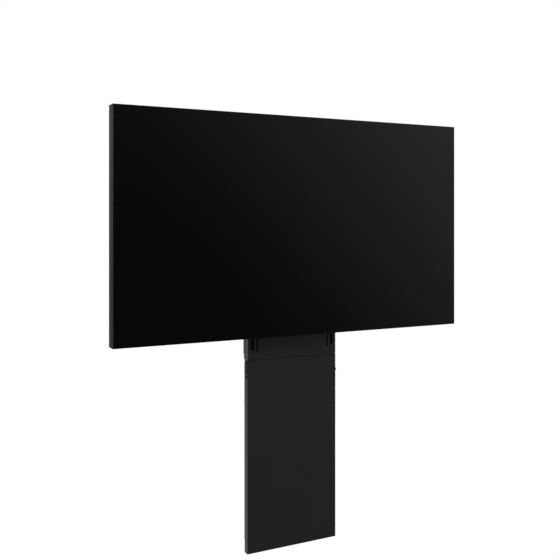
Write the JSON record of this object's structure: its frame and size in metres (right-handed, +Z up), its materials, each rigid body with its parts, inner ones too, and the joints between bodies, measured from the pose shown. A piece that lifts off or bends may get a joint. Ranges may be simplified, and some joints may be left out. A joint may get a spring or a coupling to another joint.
{
  "type": "motorized tv wall lift",
  "caption": "Flat wall column whose spindle-driven carriage lifts and lowers a large flat display on two crossbars.",
  "frame": {"origin": "centre of the four main wall slots, in the wall plane", "axes": "+Z up, +Y into the wall, the display faces -Y, +X to the right as seen from the front"},
  "size_m": [1.93, 0.162, 2.195],
  "materials": {
    "column_black": "fine textured black powder coat",
    "inner_steel": "dark satin paint on folded steel",
    "zinc_steel": "zinc plated",
    "rail_steel": "ground steel",
    "tube_steel": "polished steel",
    "motor_black": "satin black paint",
    "gland_plastic": "moulded black plastic",
    "bronze": "machined bronze",
    "rubber_black": "black rubber",
    "case_plastic": "spark textured plastic",
    "cooler": "dark anodised",
    "edge_black": "black anodised, brushed",
    "glass_black": "black backed anti-glare glass",
    "panel_dark": "dark film",
    "tray_metal": "plain sheet",
    "cover_plastic": "fine textured black plastic",
    "board": "circuit board with screening can",
    "socket_plastic": "black socket plastic",
    "carrier_black": "black powder coat"
  },
  "bodies": {
    "root": {"wall_bracket": "inner_steel", "upper_back_plate": "column_black", "bracket_bolts": "zinc_steel", "slotted_front": "column_black", "top_cap": "column_black", "lower_back_plate": "column_black", "joining_bar": "zinc_steel", "lower_wall_bracket": "inner_steel", "lower_cover": "column_black", "cover_brackets": "inner_steel", "cover_pins": "column_black", "rails": "rail_steel", "bump_stops": "rubber_black", "control_box": "case_plastic", "control_lid": "case_plastic", "power_supply": "case_plastic", "heat_sink": "cooler", "mains_inlet": "socket_plastic", "left_cheek": "column_black", "right_cheek": "column_black", "drive_tubes": "motor_black", "glands": "gland_plastic", "end_bearings": "rail_steel", "gearmotors": "motor_black", "drive_brackets": "zinc_steel"},
    "carriage": {"carriage_plate": "carrier_black", "guide_blocks": "rail_steel", "carriage_arms": "carrier_black", "uprights": "carrier_black", "upper_crossbar": "carrier_black", "lower_crossbar": "carrier_black", "crossbar_caps": "gland_plastic", "rod_blocks": "carrier_black", "push_tubes": "tube_steel", "spindle_nuts": "bronze"},
    "display": {"front_glass": "glass_black", "top_edge": "edge_black", "bottom_edge": "edge_black", "left_side_edge": "edge_black", "right_side_edge": "edge_black", "picture_panel": "panel_dark", "light_tray": "tray_metal", "rear_cover": "cover_plastic", "screen_bosses": "tray_metal", "screen_bolts": "zinc_steel", "circuit_boards": "board", "speakers": "socket_plastic", "rear_handles": "socket_plastic", "hook_strips": "carrier_black", "port_panel": "socket_plastic", "display_inlet": "socket_plastic", "switch_frame": "socket_plastic", "latch_pins": "zinc_steel"},
    "left_spindle": {"left_spindle": "tube_steel"},
    "right_spindle": {"right_spindle": "tube_steel"},
    "left_latch": {"left_latch": "zinc_steel"},
    "right_latch": {"right_latch": "zinc_steel"},
    "rocker": {"power_rocker": "socket_plastic"}
  },
  "joints": [
    {"name": "lift", "type": "slide", "parent": "root", "child": "carriage", "axis": [0, 0, 1], "range_m": [-0.65, 0]},
    {"name": "left_spindle_turn", "type": "hinge", "parent": "root", "child": "left_spindle", "pos_m": [-0.08, -0.03575, -1.13], "axis": [0, 0, 1], "range_deg": [-23402, 2]},
    {"name": "right_spindle_turn", "type": "hinge", "parent": "root", "child": "right_spindle", "pos_m": [0.08, -0.03575, -1.13], "axis": [0, 0, 1], "range_deg": [-23402, 2]},
    {"name": "side_shift", "type": "slide", "parent": "carriage", "child": "display", "axis": [1, 0, 0], "range_m": [-0.035, 0.035]},
    {"name": "left_latch_pivot", "type": "hinge", "parent": "display", "child": "left_latch", "pos_m": [-0.3, -0.079, 0.017], "axis": [-1, 0, 0], "range_deg": [0, 30], "stiffness_Nm_per_rad": 0.6, "springref_deg": -11.46},
    {"name": "right_latch_pivot", "type": "hinge", "parent": "display", "child": "right_latch", "pos_m": [0.3, -0.079, 0.017], "axis": [-1, 0, 0], "range_deg": [0, 30], "stiffness_Nm_per_rad": 0.6, "springref_deg": -11.46},
    {"name": "rocker_tilt", "type": "hinge", "parent": "display", "child": "rocker", "pos_m": [-0.47, -0.095, -0.158], "axis": [0, 0, 1], "range_deg": [-7, 7]}
  ],
  "couplings": [
    {"joint": "left_spindle_turn", "follows": "lift", "rad_per_m": 628.32},
    {"joint": "right_spindle_turn", "follows": "lift", "rad_per_m": 628.32}
  ]
}
